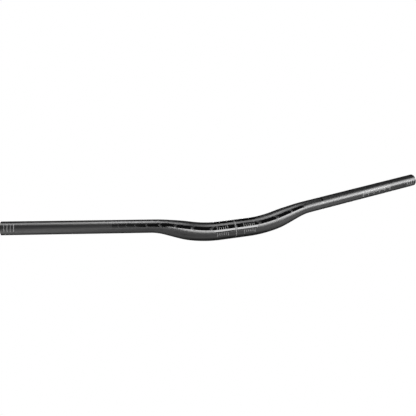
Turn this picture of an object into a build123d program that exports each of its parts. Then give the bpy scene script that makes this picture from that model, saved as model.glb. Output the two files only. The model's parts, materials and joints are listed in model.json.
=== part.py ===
"""Riser handlebar: one butted aluminium tube, swaged to a taper and bent to rise, back sweep and up sweep.

X runs along the bar, Y points to the rider and Z is up. The origin is the middle of the stem clamp.
"""
import os
from math import cos, hypot, radians, sin, tan

from build123d import *

# Driving dimensions, in millimetres and degrees
overall_width = 760.0  # tip to tip, along X
clamp_diameter = 31.8
clamp_length = 50.0  # straight seat for the stem
clamp_wall = 2.6
lower_bend_radius = 215.0  # to the tube's centreline, as for the upper bend
rise_angle = 16.4  # slope of the run between the two bends
rise = 21.5  # height of the upper bend's corner above the clamp's axis
upper_bend_radius = 125.0
back_sweep = 7.0
up_sweep = 5.0
taper_length = 69.0  # along the centreline, ending where the straight grip begins
grip_diameter = 22.2
grip_wall = 1.9
end_chamfer = 0.4  # breaks the edges of both mouths

# Sections that the taper is lofted through
taper_sections = 13

# Corners of the right arm's centreline, before the bends round them
lower_corner = clamp_length / 2 + lower_bend_radius * tan(radians(rise_angle / 2))
upper_corner = lower_corner + rise / tan(radians(rise_angle))
grip_direction = Vector(
    cos(radians(up_sweep)) * cos(radians(back_sweep)),
    cos(radians(up_sweep)) * sin(radians(back_sweep)),
    sin(radians(up_sweep)),
)

# The mouth is cut square to the grip, so its outer edge stands further out than its centre
mouth_overhang = (grip_diameter / 2 - end_chamfer) * hypot(grip_direction.Y, grip_direction.Z)
grip_reach = overall_width / 2 - mouth_overhang - upper_corner
upper_point = Vector(upper_corner, 0, rise)
mouth_point = upper_point + grip_direction * (grip_reach / grip_direction.X)

with BuildLine() as centreline:
    FilletPolyline(
        (0, 0, 0),
        (lower_corner, 0, 0),
        upper_point,
        mouth_point,
        radius=(lower_bend_radius, upper_bend_radius),
    )

# Distances along the centreline from the middle of the bar
arm = centreline.wire()
mouth = arm.length
grip_start = mouth - arm.edges().sort_by(Axis.X)[-1].length
taper_start = grip_start - taper_length
clamp_end = clamp_length / 2


def station(distance):
    """Plane square to the centreline, with its X axis down, so that the seam runs along the underside."""
    return Plane(
        origin=arm.position_at(distance, PositionMode.LENGTH),
        x_dir=(0, 0, -1),
        z_dir=arm.tangent_at(distance, PositionMode.LENGTH),
    )


def run(start, end):
    """Stretch of the centreline between two distances."""
    return arm.trim(start / mouth, end / mouth)


def taper_share(distance):
    """Share of the change from clamp to grip: 0 before the taper, 1 after it, level at both ends."""
    along = min(max((distance - taper_start) / taper_length, 0), 1)
    return along**2 * (3 - 2 * along)


def outer_radius(distance):
    """Outside of the tube, from the clamp's radius down to the grip's."""
    return (clamp_diameter + taper_share(distance) * (grip_diameter - clamp_diameter)) / 2


def bore_radius(distance):
    """Inside of the tube: the wall is butted, thickest at the clamp."""
    return outer_radius(distance) - clamp_wall - taper_share(distance) * (grip_wall - clamp_wall)


with BuildPart() as handlebar:
    # Lower bend, at the clamp's full diameter
    with BuildSketch(station(clamp_end)):
        Circle(outer_radius(clamp_end))
        Circle(bore_radius(clamp_end), mode=Mode.SUBTRACT)
    sweep(path=run(clamp_end, taper_start))

    # Taper, over the rising run and round the upper bend
    for number in range(taper_sections):
        distance = taper_start + taper_length * number / (taper_sections - 1)
        with BuildSketch(station(distance)):
            Circle(outer_radius(distance))
            Circle(bore_radius(distance), mode=Mode.SUBTRACT)
    loft()

    # Straight grip, open at its mouth
    with BuildSketch(station(grip_start)):
        Circle(outer_radius(grip_start))
        Circle(bore_radius(grip_start), mode=Mode.SUBTRACT)
    extrude(amount=mouth - grip_start)
    chamfer(handlebar.faces().sort_by(Axis.X)[-1].edges(), end_chamfer)

    # Left arm, and the straight clamp seat that joins the two
    mirror(about=Plane.YZ)
    with BuildSketch(Plane.YZ):
        Circle(outer_radius(0))
        Circle(bore_radius(0), mode=Mode.SUBTRACT)
    extrude(amount=clamp_end, both=True)

os.makedirs("parts", exist_ok=True)
handlebar.part.label = "handlebar"
export_step(handlebar.part, "parts/handlebar.step")
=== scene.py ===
"""Looks of the riser handlebar: its bead-blasted tube, its printed marks and the white stage it is shown on.

Everything is in metres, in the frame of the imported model: X runs along the bar, Y points to the rider
and Z is up.
"""
import json
from math import cos, pi, radians, sin
from typing import NamedTuple

import bpy
from bpy.props import FloatProperty, FloatVectorProperty, IntProperty, PointerProperty
from mathutils import Matrix, Quaternion, Vector


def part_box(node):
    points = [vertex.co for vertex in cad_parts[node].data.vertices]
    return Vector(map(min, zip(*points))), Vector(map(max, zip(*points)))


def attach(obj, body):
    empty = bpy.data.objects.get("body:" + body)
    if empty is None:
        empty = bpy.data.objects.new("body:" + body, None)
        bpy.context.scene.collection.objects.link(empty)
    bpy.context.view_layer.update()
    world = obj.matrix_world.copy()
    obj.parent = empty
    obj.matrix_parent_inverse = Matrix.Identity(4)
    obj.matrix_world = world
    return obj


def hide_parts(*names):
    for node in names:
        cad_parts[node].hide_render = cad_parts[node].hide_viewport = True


bl_info = {
    "name": "Riser handlebar",
    "version": (1, 0, 0),
    "blender": (4, 5, 0),
    "location": "View3D > Sidebar > Handlebar",
    "description": "Builds a butted riser handlebar with its finish and printed marks",
    "category": "Object",
}

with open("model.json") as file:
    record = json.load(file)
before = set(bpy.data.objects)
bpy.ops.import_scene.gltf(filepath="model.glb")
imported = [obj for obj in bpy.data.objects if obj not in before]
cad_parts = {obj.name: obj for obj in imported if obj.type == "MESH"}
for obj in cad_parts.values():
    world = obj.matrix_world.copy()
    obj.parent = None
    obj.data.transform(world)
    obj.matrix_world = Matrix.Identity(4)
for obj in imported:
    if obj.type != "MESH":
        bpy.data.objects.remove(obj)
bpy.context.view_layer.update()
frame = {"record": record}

MM = 0.001
BAR_LOW, BAR_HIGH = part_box("handlebar")
MOUNTS = {mount["name"]: mount["dims"] for mount in frame["record"]["mounts"]}
CLAMP = MOUNTS["stem_clamp"]
GRIP = MOUNTS["right_grip"]
END_BORE = MOUNTS["right_end_bore"]


# Sizes and colours


def length(name, description, default):
    """A size in metres that the sidebar shows."""
    return FloatProperty(
        name=name, description=description, default=default, unit="LENGTH", subtype="DISTANCE", precision=5
    )


def angle(name, description, degrees):
    """An angle that the sidebar shows."""
    return FloatProperty(name=name, description=description, default=radians(degrees), subtype="ANGLE")


def share(name, description, default, most):
    """A part of a whole that the sidebar shows."""
    return FloatProperty(
        name=name, description=description, default=default, min=0.1, max=most, subtype="FACTOR"
    )


def count(name, description, default, least=1):
    """A number of things that the sidebar shows."""
    return IntProperty(name=name, description=description, default=default, min=least)


def shade(name, description, default):
    """A linear colour that the sidebar shows."""
    return FloatVectorProperty(
        name=name, description=description, default=default, subtype="COLOR", size=3, min=0, max=1
    )


class BarSizes(bpy.types.PropertyGroup):
    """Sizes of the bent tube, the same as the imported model's."""

    overall_width: length("Overall width", "Tip to tip", BAR_HIGH[0] - BAR_LOW[0])
    clamp_diameter: length("Clamp diameter", "Outside of the tube at the stem", 2 * CLAMP["r_mm"] * MM)
    clamp_length: length("Clamp length", "Straight seat for the stem", CLAMP["length_mm"] * MM)
    clamp_wall: length("Clamp wall", "Wall of the tube at the stem", 2.6 * MM)
    lower_bend_radius: length("Lower bend radius", "Bend next to the clamp, to the axis", 215 * MM)
    rise_angle: angle("Rise angle", "Slope of the run between the bends", 16.4)
    rise: length("Rise", "Height of the upper bend's corner above the clamp", 21.5 * MM)
    upper_bend_radius: length("Upper bend radius", "Bend next to the grip, to the axis", 125 * MM)
    back_sweep: angle("Back sweep", "Turn of the grips to the rider", 7)
    up_sweep: angle("Up sweep", "Upward turn of the grips", 5)
    taper_length: length("Taper length", "Swaged length, ending at the straight grip", 69 * MM)
    grip_diameter: length("Grip diameter", "Outside of the tube at the grips", 2 * GRIP["r_mm"] * MM)
    grip_wall: length("Grip wall", "Wall of the tube at the grips", (GRIP["r_mm"] - END_BORE["r_mm"]) * MM)
    end_chamfer: length("End chamfer", "Broken edges of both mouths", 0.4 * MM)
    steps_outside: count("Steps outside", "Rings of points along the outside", 540, least=8)
    steps_inside: count("Steps inside", "Rings of points along the bore", 270, least=8)
    steps_round: count("Steps round", "Points in a ring", 96, least=12)


class PrintSizes(bpy.types.PropertyGroup):
    """Sizes of the printed marks.

    Distances along the bar are from its middle, and angles are from its front upwards.
    """

    ink_height: length("Ink height", "Thickness of one coat of ink", 0.03 * MM)
    ink_root: length("Ink root", "How far the ink reaches into the finish", 0.05 * MM)
    chevron_start: length("Chevron start", "Where the first chevron begins", 42 * MM)
    chevron_length: length("Chevron length", "First chevron", 30 * MM)
    chevron_gap: length("Chevron gap", "Gap after the first chevron", 5 * MM)
    chevron_ratio: share("Chevron ratio", "Each chevron and gap to the one before", 0.845, most=0.99)
    chevron_point: length("Chevron point", "How far the first chevron's point leads its corners", 6 * MM)
    chevron_width: length("Chevron width", "Across the first chevron, round the tube", 7.4 * MM)
    chevron_narrowing: share("Chevron narrowing", "Each chevron's width to the one before", 0.97, most=1)
    chevron_angle: angle("Chevron angle", "Middle of the first chevron", 27.5)
    chevron_fall: angle("Chevron fall", "How much lower each chevron is than the one before", 1.5)
    chevrons_left: count("Chevrons left", "On the left arm", 8)
    chevrons_right: count("Chevrons right", "On the right arm", 3)
    band_start: length("Band start", "Gap between the clamp bands and the middle of the bar", 2.5 * MM)
    band_length: length("Band length", "Each clamp band", 34.5 * MM)
    band_width: length("Band width", "Across a clamp band, round the tube", 11.2 * MM)
    band_angle: angle("Band angle", "Middle of the front bands", 22.3)
    band_turn: angle("Band turn", "From the front bands to the top bands", 59.4)
    scale_start: length("Scale start", "First tick of the clamp scale", 14.5 * MM)
    scale_pitch: length("Scale pitch", "Between two ticks of the clamp scale", 3.8 * MM)
    scale_tick: length("Scale tick", "Width of a tick", 0.5 * MM)
    scale_height: length("Scale height", "Height of a tick, round the tube", 4.2 * MM)
    scale_angle: angle("Scale angle", "Foot of the upper ticks", 19)
    scale_drop: angle("Scale drop", "From the foot of the upper ticks to the head of the lower ones", 22)
    scale_count: count("Scale count", "Ticks in a row, on each side of the middle", 6)
    centre_width: length("Centre width", "Width of the centre line", 0.5 * MM)
    centre_low: angle("Centre low", "Lower end of the centre line", -42)
    centre_high: angle("Centre high", "Upper end of the centre line", 100)
    ring_place: length("Ring place", "Where the control limit ring is, on the right grip", 171 * MM)
    ring_width: length("Ring width", "Width of the control limit ring", 3 * MM)
    ring_turn: angle("Ring turn", "How far the ring goes round", 352)
    control_start: length("Control start", "First tick of the control scale", 258 * MM)
    control_pitch: length("Control pitch", "Between two ticks of the control scale", 2.5 * MM)
    control_tick: length("Control tick", "Width of a tick", 0.65 * MM)
    control_height: length("Control height", "Height of a tick, round the tube", 6.4 * MM)
    control_angle: angle("Control angle", "Head of the ticks", 24)
    control_count: count("Control count", "Ticks of the control scale", 26)
    trim_start: length("Trim start", "First trim line, from the mouth", 6.5 * MM)
    trim_pitch: length("Trim pitch", "Between two trim lines", 5 * MM)
    trim_width: length("Trim width", "Width of a bold trim line", 0.7 * MM)
    trim_height: length("Trim height", "Length of a trim line, round the tube", 12.5 * MM)
    trim_angle: angle("Trim angle", "Middle of the trim lines on the left", 12)
    trim_turn: angle("Trim turn", "How much lower the trim lines on the right are", 24)
    trim_count: count("Trim count", "Trim lines at each end", 4)


class FinishColours(bpy.types.PropertyGroup):
    """Colours of the finish and the inks."""

    blasted: shade("Blasted black", "Bead-blasted black finish", (0.004, 0.004, 0.0042))
    blasted_pale: shade("Blasted pale", "Paler streaks in the finish", (0.006, 0.006, 0.0063))
    gloss: shade("Gloss ink", "Gloss black print", (0.0012, 0.0012, 0.0013))
    gloss_pale: shade("Gloss pale", "Thin places in the gloss black print", (0.002, 0.002, 0.0021))
    grey: shade("Grey ink", "Light grey marks", (0.16, 0.16, 0.16))
    grey_pale: shade("Grey pale", "Full places in the light grey marks", (0.23, 0.23, 0.23))


SENSOR_WIDTH = 36  # millimetres


class StageSizes(bpy.types.PropertyGroup):
    """Floor and camera."""

    floor_height: length("Floor height", "Floor from the middle of the clamp, upwards", -0.45)
    floor_size: length("Floor size", "Side of the floor", 60)
    view_azimuth: angle("View azimuth", "Camera's turn from straight ahead", -14.04)
    view_elevation: angle("View elevation", "Camera's height as an angle", 9.914)
    view_roll: angle("View roll", "Camera's tilt", -4.374)
    view_distance: length("View distance", "Camera from the bar, along its view", 0.89036)
    view_right: length("View right", "Camera's shift to its right", -0.0446)
    view_up: length("View up", "Camera's shift upwards", 0.03621)
    lens: FloatProperty(
        name="Lens",
        description=f"Focal length on a {SENSOR_WIDTH} mm sensor",
        default=44.39,
        unit="CAMERA",
    )


# Node trees

BAR_KEYS = tuple(key for key in BarSizes.__annotations__ if not key.startswith("steps"))
CORNERS = 6  # of the bar's axis, with both mouths
BEND_STEPS = 64  # in each bend of the axis
AXIS_STEP = 1 * MM  # between two points of the axis
WELD_DISTANCE = 0.002 * MM  # within which points are joined
CRISP_EDGE = radians(25)  # above which an edge is shaded sharp
LONG_TICK_EVERY = 5.0  # ticks of a scale
LONG_TICK_EXTRA = 0.5  # of a plain tick's height
FINE_LINE = 0.6  # of a bold trim line's width


def label(key):
    """Name of a tree's input, as the sidebar would show it."""
    return key.replace("_", " ").capitalize()


def math_method(operation, turned=False):
    """A method that adds a Math node, with its two values turned round if asked."""

    def method(self, other):
        return self.tree.math(operation, *((other, self) if turned else (self, other)))

    return method


class Value:
    """One output in a tree: sums and products of it add Math nodes."""

    def __init__(self, tree, socket):
        self.tree = tree
        self.socket = socket

    __add__, __radd__ = math_method("ADD"), math_method("ADD", True)
    __sub__, __rsub__ = math_method("SUBTRACT"), math_method("SUBTRACT", True)
    __mul__, __rmul__ = math_method("MULTIPLY"), math_method("MULTIPLY", True)
    __truediv__, __rtruediv__ = math_method("DIVIDE"), math_method("DIVIDE", True)


class Tree:
    """A node tree while it is being built."""

    def __init__(self, name):
        self.group = bpy.data.node_groups.new(name, "GeometryNodeTree")
        self.entry = self.group.nodes.new("NodeGroupInput")
        self.exit = self.group.nodes.new("NodeGroupOutput")

    def input(self, name, kind="Float"):
        """A named input of the whole tree."""
        self.group.interface.new_socket(name, in_out="INPUT", socket_type="NodeSocket" + kind)
        return Value(self, self.entry.outputs[name])

    def output(self, name, kind, value):
        """A named output of the whole tree."""
        self.group.interface.new_socket(name, in_out="OUTPUT", socket_type="NodeSocket" + kind)
        self.feed(self.exit.inputs[name], value)

    def feed(self, socket, value):
        """Gives a socket a link, or a plain value."""
        if isinstance(value, Value):
            self.group.links.new(value.socket, socket)
        else:
            socket.default_value = value

    def node(self, kind, feeds=None, **settings):
        """A new node, with its settings and the inputs that feeds names by name or number."""
        node = self.group.nodes.new(kind)
        for key, value in settings.items():
            setattr(node, key, value)
        for key, value in (feeds or {}).items():
            self.feed(node.inputs[key], value)
        return node

    def make(self, kind, feeds=None, **settings):
        """A new node's first output."""
        return Value(self, self.node(kind, feeds, **settings).outputs[0])

    def math(self, operation, *values):
        """Result of a Math node."""
        return self.make("ShaderNodeMath", dict(enumerate(values)), operation=operation)

    def vector(self, x, y, z):
        """A vector of three values."""
        return self.make("ShaderNodeCombineXYZ", {0: x, 1: y, 2: z})

    def split(self, vector):
        """The three values of a vector."""
        node = self.node("ShaderNodeSeparateXYZ", {0: vector})
        return [Value(self, socket) for socket in node.outputs]

    def along_vectors(self, *pairs):
        """Sum of vectors, each times a number."""
        total = None
        for vector, number in pairs:
            part = self.make("ShaderNodeVectorMath", {0: vector, "Scale": number}, operation="SCALE")
            if total is None:
                total = part
            else:
                total = self.make("ShaderNodeVectorMath", {0: total, 1: part}, operation="ADD")
        return total

    def smooth_step(self, value, start, end, low, high):
        """Goes from low to high between start and end, level at both."""
        feeds = {0: value, 1: start, 2: end, 3: low, 4: high}
        return self.make("ShaderNodeMapRange", feeds, interpolation_type="SMOOTHSTEP")

    def bar_inputs(self):
        """The bar's sizes as named inputs."""
        return {key: self.input(label(key)) for key in BAR_KEYS}

    def bar_rule(self, sizes, along):
        """The bar's rule at a distance along it."""
        node = self.node("GeometryNodeGroup", node_tree=bar_rule_group())
        for key, value in sizes.items():
            self.feed(node.inputs[label(key)], value)
        self.feed(node.inputs["Along"], along)
        return {socket.name: Value(self, socket) for socket in node.outputs}

    def round_axis(self, rule, radius, turn):
        """A point round the axis: how far forward and upward it is, and its place on the bent bar."""
        forward = radius * self.math("COSINE", turn)
        upward = radius * self.math("SINE", turn)
        place = self.along_vectors((rule["Place"], 1.0), (rule["Front"], forward), (rule["Up"], upward))
        return forward, upward, place

    def end_with(self, geometry, material):
        """Ends the tree: crisp edges, real geometry and its material."""
        turn = self.make("GeometryNodeInputMeshEdgeAngle")
        crisp = self.math("GREATER_THAN", turn, CRISP_EDGE)
        smooth = self.make("GeometryNodeSetShadeSmooth", {"Geometry": geometry, "Shade Smooth": True})
        edged = self.make(
            "GeometryNodeSetShadeSmooth",
            {"Geometry": smooth, "Selection": crisp, "Shade Smooth": False},
            domain="EDGE",
        )
        real = self.make("GeometryNodeRealizeInstances", {"Geometry": edged})
        finished = self.make("GeometryNodeSetMaterial", {"Geometry": real, "Material": material})
        self.output("Geometry", "Geometry", finished)


def bar_rule_group():
    """Node group of the bar's rule: where its axis runs and how thick the tube is, at a distance along."""
    name = "bar_rule"
    if name in bpy.data.node_groups:
        return bpy.data.node_groups[name]
    tree = Tree(name)
    size = tree.bar_inputs()
    along = tree.input("Along")

    # Corners of the right arm's axis, before the bends round them
    slope = size["rise_angle"]
    lower_x = size["clamp_length"] / 2 + size["lower_bend_radius"] * tree.math("TANGENT", slope / 2)
    upper_x = lower_x + size["rise"] / tree.math("TANGENT", slope)
    level = tree.math("COSINE", size["up_sweep"])
    grip_x = level * tree.math("COSINE", size["back_sweep"])
    grip_y = level * tree.math("SINE", size["back_sweep"])
    grip_z = tree.math("SINE", size["up_sweep"])
    lean = tree.math("SQRT", grip_y * grip_y + grip_z * grip_z)
    overhang = (size["grip_diameter"] / 2 - size["end_chamfer"]) * lean
    reach = (size["overall_width"] / 2 - overhang - upper_x) / grip_x

    # All corners from mouth to mouth: on each arm, 0 is at the lower bend, 1 at the upper one, 2 at the mouth
    middle = (CORNERS - 1) / 2
    index = tree.make("GeometryNodeInputIndex")
    right = tree.math("GREATER_THAN", index, middle)
    side = right * 2 - 1
    corner = tree.math("ABSOLUTE", index - middle) - 0.5
    at_upper = tree.math("GREATER_THAN", corner, 0.5)
    at_mouth = tree.math("GREATER_THAN", corner, 1.5)
    x = lower_x + at_upper * (upper_x - lower_x) + at_mouth * grip_x * reach
    y = at_mouth * grip_y * reach
    z = at_upper * size["rise"] + at_mouth * grip_z * reach
    points = tree.make("GeometryNodeMeshLine", {"Count": CORNERS})
    spread = {"Geometry": points, "Position": tree.vector(side * x, y, z)}
    corners = tree.make("GeometryNodeSetPosition", spread)

    # The bends, and even steps along them
    path = tree.make("GeometryNodeMeshToCurve", {"Mesh": corners})
    radius = size["lower_bend_radius"] + at_upper * (size["upper_bend_radius"] - size["lower_bend_radius"])
    bends = {"Curve": path, "Count": BEND_STEPS, "Radius": radius}
    bent = tree.make("GeometryNodeFilletCurve", bends, mode="POLY")
    even = tree.make("GeometryNodeResampleCurve", {"Curve": bent, "Length": AXIS_STEP}, mode="LENGTH")
    axis = tree.make("GeometryNodeSetCurveNormal", {"Curve": even}, mode="Z_UP")
    half = tree.make("GeometryNodeCurveLength", {"Curve": bent}) / 2

    # Front and up at the distance asked for, square to the axis
    found = tree.node(
        "GeometryNodeSampleCurve",
        {"Curves": axis, "Length": half + along},
        mode="LENGTH",
        use_all_curves=True,
    )
    place, tangent, front = (Value(tree, found.outputs[name]) for name in ("Position", "Tangent", "Normal"))
    up = tree.make("ShaderNodeVectorMath", {0: front, 1: tangent}, operation="CROSS_PRODUCT")

    # The taper ends where the upper bend does
    cosine = tree.math("COSINE", slope) * grip_x + tree.math("SINE", slope) * grip_z
    tangent_length = size["upper_bend_radius"] * tree.math("SQRT", (1 - cosine) / (1 + cosine))
    grip_start = half - reach + tangent_length
    taper_start = grip_start - size["taper_length"]
    distance = tree.math("ABSOLUTE", along)
    thick, slim = size["clamp_diameter"] / 2, size["grip_diameter"] / 2
    outer = tree.smooth_step(distance, taper_start, grip_start, thick, slim)
    wall = tree.smooth_step(distance, taper_start, grip_start, size["clamp_wall"], size["grip_wall"])

    tree.output("Place", "Vector", place)
    tree.output("Front", "Vector", front)
    tree.output("Up", "Vector", up)
    tree.output("Outer", "Float", outer)
    tree.output("Bore", "Float", outer - wall)
    tree.output("Half", "Float", half)
    return tree.group


def tube_tree():
    """The butted tube as one closed skin: the outside, the right lip, back through the bore, the left lip."""
    tree = Tree("butted_tube")
    size = tree.bar_inputs()
    steps = ("steps_outside", "steps_inside", "steps_round")
    outside, inside, around = (tree.input(label(key), "Int") for key in steps)
    material = tree.input("Material", "Material")
    half = tree.bar_rule(size, 0.0)["Half"]

    # Number of a point's ring, and of the point in its ring; in both, the last lies on the first
    index = tree.make("GeometryNodeInputIndex")
    ring = tree.math("FLOOR", (index + 0.5) / (around + 1))
    turn = index - ring * (around + 1)
    step = tree.math("MODULO", ring, outside + inside)

    # The outside's rings come first, then the bore's; each run's end rings are chamfered lips
    inner = tree.math("GREATER_THAN", step, outside - 0.5)
    run = step - inner * outside
    last = outside - 1 + inner * (inside - outside)
    lip = tree.math("LESS_THAN", run, 0.5) + tree.math("GREATER_THAN", run, last - 0.5)
    part = tree.math("MINIMUM", tree.math("MAXIMUM", (run - 1) / (last - 2), 0.0), 1.0)
    way = 1 - 2 * inner
    body = way * (2 * part - 1) * (half - size["end_chamfer"])
    along = body + lip * tree.math("SIGN", body) * size["end_chamfer"]

    rule = tree.bar_rule(size, along)
    radius = rule["Outer"] + inner * (rule["Bore"] - rule["Outer"]) - way * lip * size["end_chamfer"]
    theta = turn / around * (2 * pi) - pi / 2
    forward, upward, bent = tree.round_axis(rule, radius, theta)

    grid = tree.make("GeometryNodeMeshGrid", {"Vertices X": outside + inside + 1, "Vertices Y": around + 1})
    straight = tree.make(
        "GeometryNodeStoreNamedAttribute",
        {"Geometry": grid, "Name": "straight", "Value": tree.vector(along, 0.0 - forward, upward)},
        data_type="FLOAT_VECTOR",
        domain="POINT",
    )
    skin = tree.make("GeometryNodeSetPosition", {"Geometry": straight, "Position": bent})
    closed = tree.make("GeometryNodeMergeByDistance", {"Geometry": skin, "Distance": WELD_DISTANCE})
    tree.end_with(closed, material)
    return tree


class Plates:
    """Printed marks while their tree is being built: numbered thin plates, each a cube of side 1 at first."""

    def __init__(self, name, steps_along, steps_round, coats=1):
        self.tree = tree = Tree(name)
        self.size = tree.bar_inputs()
        ink_height, self.ink_root = self.inputs("ink_height", "ink_root")
        self.ink_height = ink_height * coats
        self.material = tree.input("Material", "Material")
        self.steps = {"Vertices X": steps_along + 1, "Vertices Y": steps_round + 1, "Vertices Z": 2}

    def inputs(self, *keys, kind="Float"):
        """The marks' own sizes as named inputs."""
        return [self.tree.input(label(key), kind) for key in keys]

    def stamp(self, number_of_plates):
        """Lays out the plates, one over the other.

        Gives a point's place along and round its plate, from -0.5 to 0.5, and the plate's number.
        """
        tree = self.tree
        plate = tree.make("GeometryNodeMeshCube", self.steps)
        points = tree.make("GeometryNodePoints", {"Count": number_of_plates})
        stamps = tree.make("GeometryNodeInstanceOnPoints", {"Points": points, "Instance": plate})
        index = tree.make("GeometryNodeInputIndex")
        numbered = tree.make(
            "GeometryNodeStoreNamedAttribute",
            {"Geometry": stamps, "Name": "number", "Value": index},
            data_type="FLOAT",
            domain="INSTANCE",
        )
        self.plates = tree.make("GeometryNodeRealizeInstances", {"Geometry": numbered})
        number = tree.make("GeometryNodeInputNamedAttribute", {"Name": "number"}, data_type="FLOAT")
        x, y, z = tree.split(tree.make("GeometryNodeInputPosition"))
        self.out = z + 0.5
        return x, y, number

    def wrap(self, along, theta, arc=None):
        """Bends the plates round the tube: arc is a length round it, added to the angle theta."""
        tree = self.tree
        rule = tree.bar_rule(self.size, along)
        turn = theta if arc is None else theta + arc / rule["Outer"]
        radius = rule["Outer"] - self.ink_root + self.out * (self.ink_root + self.ink_height)
        bent = tree.round_axis(rule, radius, turn)[-1]
        laid = tree.make("GeometryNodeSetPosition", {"Geometry": self.plates, "Position": bent})
        tree.end_with(laid, self.material)
        return tree


def sided(tree, number, number_on_left):
    """Side of a numbered plate, -1 on the left arm and 1 on the right, and its place on that side."""
    right = tree.math("GREATER_THAN", number, number_on_left - 0.5)
    return right * 2 - 1, number - right * number_on_left


def pointed(tree, y):
    """How much of its point's lead a plate has: all in its middle, and none at its corners."""
    return 1 - 2 * tree.math("ABSOLUTE", y)


def longer_fifths(tree, number):
    """Height of a scale's tick to a plain one's: each fifth tick is taller."""
    fifth = tree.math("LESS_THAN", tree.math("MODULO", number, LONG_TICK_EVERY), 0.5)
    return 1 + LONG_TICK_EXTRA * fifth


def chevron_tree():
    """Chevrons that point outwards along both arms, each shorter than the one before."""
    marks = Plates("chevron_print", steps_along=22, steps_round=16)
    tree = marks.tree
    start, size, gap, ratio, point = marks.inputs(
        "chevron_start", "chevron_length", "chevron_gap", "chevron_ratio", "chevron_point"
    )
    width, narrowing, theta, fall = marks.inputs(
        "chevron_width", "chevron_narrowing", "chevron_angle", "chevron_fall"
    )
    left, right = marks.inputs("chevrons_left", "chevrons_right", kind="Int")
    x, y, number = marks.stamp(left + right)
    side, place = sided(tree, number, left)
    shrink = tree.math("POWER", ratio, place)
    begin = start + (size + gap) * (1 - shrink) / (1 - ratio)
    reach = begin + ((x + 0.5) * size + point * pointed(tree, y)) * shrink
    arc = y * width * tree.math("POWER", narrowing, place)
    return marks.wrap(side * reach, theta - place * fall, side * arc)


def band_tree():
    """Four bands on the clamp, two along its front and two along its top, pointed at their outer ends."""
    marks = Plates("clamp_bands", steps_along=26, steps_round=16)
    tree = marks.tree
    start, size, point, width, theta, turn = marks.inputs(
        "band_start", "band_length", "chevron_point", "band_width", "band_angle", "band_turn"
    )
    x, y, number = marks.stamp(4)
    row = tree.math("FLOOR", (number + 0.5) / 2)
    side = (number - 2 * row) * 2 - 1
    lead = (x + 0.5) * point * pointed(tree, y)
    return marks.wrap(side * (start + (x + 0.5) * size + lead), theta + row * turn, side * y * width)


def clamp_scale_tree():
    """Ticks to centre and turn the stem by, printed over the bands: a row that stands and one that hangs."""
    marks = Plates("clamp_scale", steps_along=2, steps_round=8, coats=2)
    tree = marks.tree
    start, pitch, tick, height, theta, drop = marks.inputs(
        "scale_start", "scale_pitch", "scale_tick", "scale_height", "scale_angle", "scale_drop"
    )
    (ticks,) = marks.inputs("scale_count", kind="Int")
    x, y, number = marks.stamp(ticks * 4)
    lower = tree.math("GREATER_THAN", number, 2 * ticks - 0.5)
    side, place = sided(tree, number - lower * 2 * ticks, ticks)
    arc = (y + 0.5 - lower) * height * longer_fifths(tree, place)
    return marks.wrap(side * (start + place * pitch) + x * tick, theta - lower * drop, arc)


def centre_tree():
    """One line across the front and top at the middle of the bar."""
    marks = Plates("centre_line", steps_along=2, steps_round=60)
    width, low, high = marks.inputs("centre_width", "centre_low", "centre_high")
    x, y, _ = marks.stamp(1)
    return marks.wrap(x * width, low + (y + 0.5) * (high - low))


def ring_tree():
    """A ring round the right grip, open by a sliver underneath, where the controls stop."""
    marks = Plates("limit_ring", steps_along=2, steps_round=120)
    place, width, turn = marks.inputs("ring_place", "ring_width", "ring_turn")
    x, y, _ = marks.stamp(1)
    return marks.wrap(place + x * width, y * turn + pi / 2)


def control_scale_tree():
    """Ticks that hang in a row on the right grip, to set the controls by."""
    marks = Plates("control_scale", steps_along=2, steps_round=8)
    tree = marks.tree
    start, pitch, tick, height, theta = marks.inputs(
        "control_start", "control_pitch", "control_tick", "control_height", "control_angle"
    )
    (ticks,) = marks.inputs("control_count", kind="Int")
    x, y, number = marks.stamp(ticks)
    arc = (y - 0.5) * height * longer_fifths(tree, number)
    return marks.wrap(start + number * pitch + x * tick, theta, arc)


def trim_tree():
    """Lines across the front of both ends, to cut the bar by; each second one is bolder."""
    marks = Plates("trim_lines", steps_along=2, steps_round=20)
    tree = marks.tree
    start, pitch, width, height = marks.inputs("trim_start", "trim_pitch", "trim_width", "trim_height")
    theta, turn = marks.inputs("trim_angle", "trim_turn")
    (lines,) = marks.inputs("trim_count", kind="Int")
    x, y, number = marks.stamp(lines * 2)
    side, place = sided(tree, number, lines)
    half = tree.bar_rule(marks.size, 0.0)["Half"]
    bold = FINE_LINE + (1 - FINE_LINE) * tree.math("MODULO", place, 2.0)
    along = side * (half - start - place * pitch) + x * width * bold
    on_right = tree.math("GREATER_THAN", side, 0.0)
    return marks.wrap(along, theta - on_right * turn, y * height)


def grow(name, tree, material, *groups):
    """Runs a tree on the sizes of the property groups and keeps what it makes as a plain mesh."""
    sizes = {label(key): getattr(group, key) for group in groups for key in type(group).__annotations__}
    sizes["Material"] = material
    piece = bpy.data.objects.new(name, bpy.data.meshes.new(name + "_seed"))
    bpy.context.collection.objects.link(piece)
    modifier = piece.modifiers.new(name, "NODES")
    modifier.node_group = tree.group
    for item in tree.group.interface.items_tree:
        if item.in_out == "INPUT":
            modifier[item.identifier] = sizes[item.name]
    depsgraph = bpy.context.evaluated_depsgraph_get()
    mesh = bpy.data.meshes.new_from_object(
        piece.evaluated_get(depsgraph), preserve_all_data_layers=True, depsgraph=depsgraph
    )
    if not mesh.polygons:
        raise RuntimeError(f"{name} has no faces")
    piece.modifiers.clear()
    seed = piece.data
    piece.data = mesh
    bpy.data.meshes.remove(seed)
    mesh.name = name
    mesh.materials.clear()
    mesh.materials.append(material)
    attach(piece, "root")
    return piece


# Materials

SHADE_SPAN = (0.35, 0.65)  # of a noise, from the dark shade to the pale one
ROUGHNESS_SPAN = (0.3, 0.7)  # of a noise, from the low roughness to the high one


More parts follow.
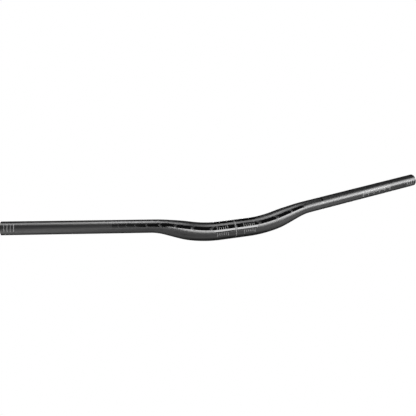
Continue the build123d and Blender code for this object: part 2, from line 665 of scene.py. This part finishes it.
class Finish:
    """A material while its nodes are being added."""

    def __init__(self, name):
        self.material = bpy.data.materials.new(name)
        self.material.use_nodes = True
        self.nodes = self.material.node_tree.nodes
        self.links = self.material.node_tree.links
        self.shader = self.nodes["Principled BSDF"]
        self.place = self.nodes.new("ShaderNodeTexCoord").outputs["Object"]

    def noise(self, scale, detail, place=None, stretch=None):
        """Noise over the piece, on Object coordinates or another place, stretched if asked."""
        place = place or self.place
        if stretch:
            mapping = self.nodes.new("ShaderNodeMapping")
            mapping.inputs["Scale"].default_value = stretch
            self.links.new(place, mapping.inputs["Vector"])
            place = mapping.outputs["Vector"]
        noise = self.nodes.new("ShaderNodeTexNoise")
        noise.inputs["Scale"].default_value = scale
        noise.inputs["Detail"].default_value = detail
        self.links.new(place, noise.inputs["Vector"])
        return noise.outputs["Fac"]

    def attribute(self, name):
        """A vector that is stored on the mesh."""
        node = self.nodes.new("ShaderNodeAttribute")
        node.attribute_name = name
        return node.outputs["Vector"]

    def shades(self, value, dark, pale):
        """Base colour between two shades."""
        ramp = self.nodes.new("ShaderNodeValToRGB")
        for element, place, colour in zip(ramp.color_ramp.elements, SHADE_SPAN, (dark, pale)):
            element.position = place
            element.color = (*colour, 1)
        self.links.new(value, ramp.inputs["Fac"])
        self.links.new(ramp.outputs["Color"], self.shader.inputs["Base Color"])

    def roughness(self, value, low, high):
        """Roughness between two values."""
        node = self.nodes.new("ShaderNodeMapRange")
        for socket, number in zip(node.inputs[1:5], (*ROUGHNESS_SPAN, low, high)):
            socket.default_value = number
        self.links.new(value, node.inputs[0])
        self.links.new(node.outputs["Result"], self.shader.inputs["Roughness"])

    def bump(self, value, strength, distance):
        """Small unevenness of the surface."""
        node = self.nodes.new("ShaderNodeBump")
        node.inputs["Strength"].default_value = strength
        node.inputs["Distance"].default_value = distance
        self.links.new(value, node.inputs["Height"])
        self.links.new(node.outputs["Normal"], self.shader.inputs["Normal"])


def blasted_finish(colours):
    """Bead-blasted black: fine grain all over, with faint drawing streaks along the tube."""
    finish = Finish("blasted_black")
    streaks = finish.noise(scale=1, detail=3, place=finish.attribute("straight"), stretch=(12, 420, 420))
    finish.shades(streaks, colours.blasted, colours.blasted_pale)
    finish.roughness(finish.noise(scale=160, detail=4), low=0.30, high=0.35)
    finish.bump(finish.noise(scale=2600, detail=2), strength=0.09, distance=0.1 * MM)
    return finish.material


def gloss_ink(colours):
    """Gloss black ink, with the slight waviness of a printed film."""
    finish = Finish("gloss_ink")
    finish.shades(finish.noise(scale=300, detail=2), colours.gloss, colours.gloss_pale)
    finish.roughness(finish.noise(scale=220, detail=3), low=0.07, high=0.10)
    finish.bump(finish.noise(scale=500, detail=1), strength=0.04, distance=0.05 * MM)
    return finish.material


def grey_ink(colours):
    """Light grey ink, a little thin in places over the grain."""
    finish = Finish("grey_ink")
    finish.shades(finish.noise(scale=1200, detail=3), colours.grey, colours.grey_pale)
    finish.roughness(finish.noise(scale=400, detail=3), low=0.42, high=0.52)
    finish.bump(finish.noise(scale=2600, detail=2), strength=0.08, distance=0.05 * MM)
    return finish.material


def shared(name, maker):
    """A material that more than one piece may have, made when it is first asked for."""
    return bpy.data.materials.get(name) or maker(bpy.context.scene.handlebar_colours)


# Operators

GLOSS = ("gloss_ink", gloss_ink)
GREY = ("grey_ink", grey_ink)


class HANDLEBAR_OT_tube(bpy.types.Operator):
    """Build the butted, tapered and bent tube"""

    bl_idname = "handlebar.tube"
    bl_label = "Tube"
    bl_options = {"REGISTER", "UNDO"}

    def execute(self, context):
        material = shared("blasted_black", blasted_finish)
        tube = grow("bar_tube", tube_tree(), material, context.scene.handlebar_sizes)
        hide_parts("handlebar")
        return {"FINISHED"}


class PrintOperator:
    """Shared by the operators that print marks on the tube."""

    bl_options = {"REGISTER", "UNDO"}

    def execute(self, context):
        material = shared(*self.ink)
        grow(self.piece, self.tree(), material, context.scene.handlebar_sizes, context.scene.handlebar_print)
        return {"FINISHED"}


class HANDLEBAR_OT_bands(PrintOperator, bpy.types.Operator):
    """Print the gloss bands on the clamp"""

    bl_idname = "handlebar.bands"
    bl_label = "Clamp bands"
    piece = "clamp_bands"
    tree = staticmethod(band_tree)
    ink = GLOSS


class HANDLEBAR_OT_chevrons(PrintOperator, bpy.types.Operator):
    """Print the gloss chevrons along the arms"""

    bl_idname = "handlebar.chevrons"
    bl_label = "Chevrons"
    piece = "chevron_print"
    tree = staticmethod(chevron_tree)
    ink = GLOSS


class HANDLEBAR_OT_clamp_scale(PrintOperator, bpy.types.Operator):
    """Print the ticks that the stem is centred by"""

    bl_idname = "handlebar.clamp_scale"
    bl_label = "Clamp scale"
    piece = "clamp_scale"
    tree = staticmethod(clamp_scale_tree)
    ink = GREY


class HANDLEBAR_OT_centre_line(PrintOperator, bpy.types.Operator):
    """Print the line at the middle of the bar"""

    bl_idname = "handlebar.centre_line"
    bl_label = "Centre line"
    piece = "centre_line"
    tree = staticmethod(centre_tree)
    ink = GREY


class HANDLEBAR_OT_limit_ring(PrintOperator, bpy.types.Operator):
    """Print the ring where the controls stop"""

    bl_idname = "handlebar.limit_ring"
    bl_label = "Limit ring"
    piece = "limit_ring"
    tree = staticmethod(ring_tree)
    ink = GLOSS


class HANDLEBAR_OT_control_scale(PrintOperator, bpy.types.Operator):
    """Print the ticks that the controls are set by"""

    bl_idname = "handlebar.control_scale"
    bl_label = "Control scale"
    piece = "control_scale"
    tree = staticmethod(control_scale_tree)
    ink = GREY


class HANDLEBAR_OT_trim_lines(PrintOperator, bpy.types.Operator):
    """Print the lines that the ends are cut by"""

    bl_idname = "handlebar.trim_lines"
    bl_label = "Trim lines"
    piece = "trim_lines"
    tree = staticmethod(trim_tree)
    ink = GREY


# Stage

WHITE = (1, 1, 1, 1)
BLACK = (0, 0, 0, 1)


class Softbox(NamedTuple):
    """A rectangular light that faces the middle of the bar.

    Its turn to the right of straight ahead, its height upwards and its roll are in degrees. Its distance
    is in metres, and so are its two sides, wide and high.
    """

    turn: float
    height: float
    distance: float
    wide: float
    high: float
    brightness: float
    roll: float = 0


SOFTBOXES = {
    "key_softbox": Softbox(turn=29.5, height=11, distance=1.8, wide=1.8, high=0.70, brightness=15.5),
    "key_wing": Softbox(turn=57, height=24, distance=1.8, wide=0.83, high=0.80, brightness=10.4),
    "top_softbox": Softbox(
        turn=-68, height=82.6, distance=1.25, wide=0.48, high=1.35, brightness=7.5, roll=-22
    ),
    "top_core": Softbox(turn=-90, height=86.5, distance=1.24, wide=0.60, high=0.30, brightness=7.6),
    "left_fill": Softbox(turn=-25, height=0, distance=1.9, wide=0.9, high=0.9, brightness=1.0),
    "left_high_fill": Softbox(turn=-32, height=44, distance=1.8, wide=1.2, high=1.1, brightness=0.25),
    "left_top_fill": Softbox(turn=-32, height=67, distance=1.7, wide=1.0, high=0.4, brightness=1.9),
    "left_mid_fill": Softbox(turn=-25, height=20, distance=1.8, wide=0.9, high=0.3, brightness=0.45),
    "left_front_bounce": Softbox(turn=-25, height=-15, distance=1.7, wide=1.0, high=0.5, brightness=2.1),
    "low_left_bounce": Softbox(turn=-45, height=-35, distance=1.7, wide=1.2, high=0.8, brightness=2.2),
    "under_left_bounce": Softbox(turn=-70, height=-50, distance=1.7, wide=1.2, high=0.8, brightness=1.4),
    "under_bounce": Softbox(turn=-60, height=-70, distance=1.6, wide=1.5, high=1.1, brightness=0.7),
    "right_front_bounce": Softbox(turn=38, height=-7, distance=1.8, wide=0.7, high=0.36, brightness=3.9),
    "floor_bounce": Softbox(turn=20, height=-28, distance=1.7, wide=2.0, high=1.0, brightness=0.77),
    "clamp_bounce": Softbox(turn=15, height=-59, distance=1.6, wide=0.7, high=0.75, brightness=0.95),
    "right_bounce": Softbox(turn=50, height=-30, distance=1.7, wide=1.2, high=0.8, brightness=0.75),
    "low_right_bounce": Softbox(turn=62, height=-48, distance=1.6, wide=1.3, high=0.9, brightness=0.9),
    "rear_strip": Softbox(turn=180, height=-11, distance=2.1, wide=2.6, high=0.36, brightness=9.0),
    "rear_left_strip": Softbox(turn=-130, height=-12, distance=2.1, wide=1.4, high=0.45, brightness=5.0),
    "rear_right_strip": Softbox(turn=130, height=-12, distance=2.1, wide=1.4, high=0.45, brightness=5.0),
}


def direction(turn, height):
    """Away from the middle of the bar: turn is to the right of straight ahead, height is upwards."""
    return Vector((sin(turn) * cos(height), -cos(turn) * cos(height), sin(height)))


class HANDLEBAR_OT_stage(bpy.types.Operator):
    """Set up the white floor, the softboxes and the camera"""

    bl_idname = "handlebar.stage"
    bl_label = "Stage"
    bl_options = {"REGISTER", "UNDO"}

    def execute(self, context):
        stage = context.scene.handlebar_stage
        self.floor(stage)
        self.surround(context.scene)
        for name, box in SOFTBOXES.items():
            self.softbox(name, box)
        context.scene.camera = self.camera(stage)
        return {"FINISHED"}

    def floor(self, stage):
        """A lit white floor, which neither lights the bar nor shows in its gloss."""
        half, level = stage.floor_size / 2, stage.floor_height
        corners = [(-half, -half, level), (half, -half, level), (half, half, level), (-half, half, level)]
        mesh = bpy.data.meshes.new("floor")
        mesh.from_pydata(corners, [], [(0, 1, 2, 3)])
        material = bpy.data.materials.new("floor_white")
        material.use_nodes = True
        shader = material.node_tree.nodes["Principled BSDF"]
        shader.inputs["Base Color"].default_value = BLACK
        shader.inputs["Specular IOR Level"].default_value = 0
        shader.inputs["Emission Color"].default_value = WHITE
        shader.inputs["Emission Strength"].default_value = 1
        mesh.materials.append(material)
        floor = bpy.data.objects.new("floor", mesh)
        floor.visible_glossy = floor.visible_diffuse = floor.visible_shadow = False
        bpy.context.collection.objects.link(floor)

    def surround(self, scene):
        """White behind the bar, dark in its reflections."""
        scene.world = world = bpy.data.worlds.new("white_surround")
        world.use_nodes = True
        background = world.node_tree.nodes["Background"]
        background.inputs["Color"].default_value = WHITE
        background.inputs["Strength"].default_value = 1
        world.cycles_visibility.diffuse = world.cycles_visibility.glossy = False
        scene.view_settings.view_transform = "Standard"

    def softbox(self, name, box):
        """A softbox in its place, unseen by the camera."""
        light = bpy.data.lights.new(name, "AREA")
        light.shape = "RECTANGLE"
        light.size = box.wide
        light.size_y = box.high
        light.energy = box.brightness * pi * box.wide * box.high
        lamp = bpy.data.objects.new(name, light)
        away = direction(radians(box.turn), radians(box.height))
        facing = away.to_track_quat("Z", "Y") @ Quaternion((0, 0, 1), radians(box.roll))
        lamp.matrix_world = Matrix.LocRotScale(away * box.distance, facing, None)
        lamp.visible_camera = False
        bpy.context.collection.objects.link(lamp)

    def camera(self, stage):
        """The camera at the photograph's place."""
        back = direction(stage.view_azimuth, stage.view_elevation)
        level = Vector((0, 0, 1)).cross(back).normalized()
        upright = back.cross(level)
        roll = stage.view_roll
        right = level * cos(roll) + upright * sin(roll)
        up = upright * cos(roll) - level * sin(roll)
        lens = bpy.data.cameras.new("camera")
        lens.lens = stage.lens
        lens.sensor_width = SENSOR_WIDTH
        lens.clip_start = 0.01
        lens.clip_end = 200
        camera = bpy.data.objects.new("camera", lens)
        axes = Matrix((right, up, back)).transposed()
        place = back * stage.view_distance + right * stage.view_right + up * stage.view_up
        camera.matrix_world = Matrix.Translation(place) @ axes.to_4x4()
        bpy.context.collection.objects.link(camera)
        return camera


# Sidebar and registration

GROUPS = {
    "handlebar_sizes": BarSizes,
    "handlebar_print": PrintSizes,
    "handlebar_colours": FinishColours,
    "handlebar_stage": StageSizes,
}

OPERATORS = (
    HANDLEBAR_OT_tube,
    HANDLEBAR_OT_bands,
    HANDLEBAR_OT_chevrons,
    HANDLEBAR_OT_clamp_scale,
    HANDLEBAR_OT_centre_line,
    HANDLEBAR_OT_limit_ring,
    HANDLEBAR_OT_control_scale,
    HANDLEBAR_OT_trim_lines,
    HANDLEBAR_OT_stage,
)


class HANDLEBAR_PT_panel(bpy.types.Panel):
    """Lists the handlebar's operators, sizes and colours"""

    bl_idname = "HANDLEBAR_PT_panel"
    bl_label = "Handlebar"
    bl_space_type = "VIEW_3D"
    bl_region_type = "UI"
    bl_category = "Handlebar"

    def draw(self, context):
        """A button for each operator, then a box for each group."""
        for operator in OPERATORS:
            self.layout.operator(operator.bl_idname)
        for name in GROUPS:
            group = getattr(context.scene, name)
            box = self.layout.box()
            for key in type(group).__annotations__:
                box.prop(group, key)


CLASSES = (*GROUPS.values(), *OPERATORS, HANDLEBAR_PT_panel)


def register():
    """Adds the classes, and their sizes and colours to the scene."""
    for added in CLASSES:
        bpy.utils.register_class(added)
    for name, group in GROUPS.items():
        setattr(bpy.types.Scene, name, PointerProperty(type=group))


def unregister():
    """Takes away what register adds."""
    for name in GROUPS:
        delattr(bpy.types.Scene, name)
    for added in reversed(CLASSES):
        bpy.utils.unregister_class(added)


def main():
    """Builds every piece and the stage."""
    register()
    bpy.ops.handlebar.tube()
    bpy.ops.handlebar.bands()
    bpy.ops.handlebar.chevrons()
    bpy.ops.handlebar.clamp_scale()
    bpy.ops.handlebar.centre_line()
    bpy.ops.handlebar.limit_ring()
    bpy.ops.handlebar.control_scale()
    bpy.ops.handlebar.trim_lines()
    bpy.ops.handlebar.stage()


if __name__ == "__main__":
    main()
